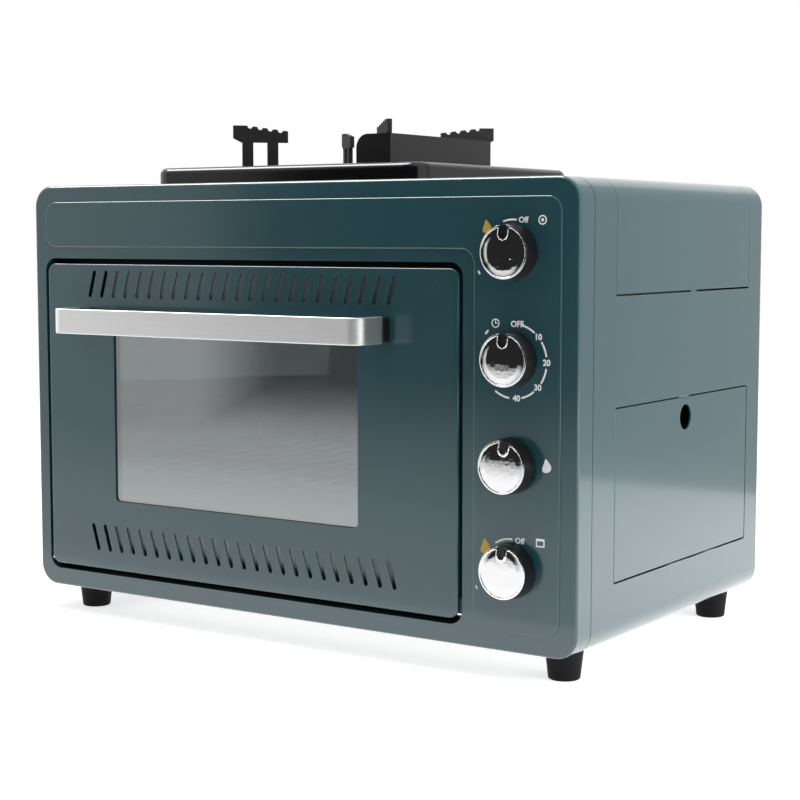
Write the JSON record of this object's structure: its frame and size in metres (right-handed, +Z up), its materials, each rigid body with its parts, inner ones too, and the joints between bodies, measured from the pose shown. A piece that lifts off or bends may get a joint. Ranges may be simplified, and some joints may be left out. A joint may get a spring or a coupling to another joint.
{
  "type": "portable gas oven with stove top",
  "caption": "Portable tabletop gas oven with a glazed drop-down door, a single-burner stove on its top and two gas cartridge bays.",
  "frame": {"origin": "centre of the bounding box's bottom, on the plane the feet stand on", "axes": "+X to the right across the front, +Y from the door to the rear, +Z up"},
  "size_m": [0.48, 0.3356, 0.3785],
  "materials": {
    "painted_casing": "dark blue-green semi-gloss paint",
    "steel_handle": "brushed along its length",
    "chrome_caps": "mirror chrome",
    "black_plastic": "heat-resistant moulded plastic",
    "rubber_feet": "moulded rubber",
    "black_enamel": "gloss black enamel",
    "black_support": "matt black enamel",
    "glass_window": "clear toughened glass",
    "inner_steel": "plain galvanised steel",
    "plated_wire": "plated wire",
    "bare_steel": "plain steel",
    "brass_gas": "plain brass",
    "white_ceramic": "white glazed ceramic",
    "burner_alloy": "cast"
  },
  "bodies": {
    "casing": {"front_fascia": "painted_casing", "chassis_front": "black_support", "body_wrap": "painted_casing", "back_panel": "painted_casing", "back_panel_screws": "bare_steel", "base_pan": "inner_steel", "feet": "rubber_feet", "foot_screws": "bare_steel", "oven_mouth": "inner_steel", "oven_liner": "inner_steel", "side_racks": "plated_wire", "wire_shelf": "plated_wire", "burner_cover": "inner_steel", "oven_burner": "bare_steel", "ceramic_probes": "white_ceramic", "door_hinge_blocks": "black_plastic", "door_hinge_pins": "bare_steel", "catch_magnets": "bare_steel", "gas_bay_wall": "inner_steel", "upper_cradle": "inner_steel", "lower_cradle": "inner_steel", "regulator_bracket": "inner_steel", "oven_regulator": "burner_alloy", "stove_regulator_valve": "burner_alloy", "flame_safety_valve": "brass_gas", "oven_valve": "brass_gas", "oven_timer": "bare_steel", "valve_nuts": "brass_gas", "gas_pipes": "bare_steel", "lid_hinge_brackets": "inner_steel", "lid_hinge_pin": "bare_steel", "canister_door_pivots": "bare_steel", "drip_tray": "black_enamel", "burner_bracket": "inner_steel", "burner_bowl": "burner_alloy", "burner_head": "burner_alloy", "burner_cap": "black_support", "pot_supports": "black_support", "windshield": "black_enamel", "tray_screws": "bare_steel"},
    "oven_door": {"door_panel": "painted_casing", "door_inner_frame": "inner_steel", "door_glass": "glass_window", "glass_clips": "bare_steel", "door_handle": "steel_handle", "handle_posts": "black_plastic"},
    "canister_lid_body": {"canister_lid": "painted_casing"},
    "canister_door_body": {"canister_door": "painted_casing"},
    "stove_control": {"stove_knob": "black_plastic", "stove_knob_cap": "chrome_caps", "stove_spindle": "bare_steel"},
    "timer_control": {"timer_knob": "black_plastic", "timer_knob_cap": "chrome_caps", "timer_spindle": "bare_steel"},
    "safety_control": {"safety_knob": "black_plastic", "safety_knob_cap": "chrome_caps", "safety_spindle": "bare_steel"},
    "oven_control": {"oven_knob": "black_plastic", "oven_knob_cap": "chrome_caps", "oven_spindle": "bare_steel"}
  },
  "joints": [
    {"name": "oven_door_hinge", "type": "hinge", "parent": "casing", "child": "oven_door", "pos_m": [0, -0.1288, 0.0422], "axis": [1, 0, 0], "range_deg": [0, 85]},
    {"name": "canister_lid_hinge", "type": "hinge", "parent": "casing", "child": "canister_lid_body", "pos_m": [0.1575, 0.0292, 0.3295], "axis": [0, -1, 0], "range_deg": [0, 105]},
    {"name": "canister_door_hinge", "type": "hinge", "parent": "casing", "child": "canister_door_body", "pos_m": [0.237, 0.0292, 0.0684], "axis": [0, 1, 0], "range_deg": [0, 90]},
    {"name": "stove_knob_turn", "type": "hinge", "parent": "casing", "child": "stove_control", "pos_m": [0.1917, -0.1462, 0.2845], "axis": [0, -1, 0], "range_deg": [0, 120]},
    {"name": "timer_knob_turn", "type": "hinge", "parent": "casing", "child": "timer_control", "pos_m": [0.1917, -0.1462, 0.2151], "axis": [0, 1, 0], "range_deg": [0, 220]},
    {"name": "oven_knob_turn", "type": "hinge", "parent": "casing", "child": "oven_control", "pos_m": [0.1917, -0.1462, 0.0763], "axis": [0, -1, 0], "range_deg": [0, 120]},
    {"name": "safety_knob_push", "type": "slide", "parent": "casing", "child": "safety_control", "axis": [0, 1, 0], "range_m": [0, 0.002], "stiffness_N_per_m": 600}
  ]
}
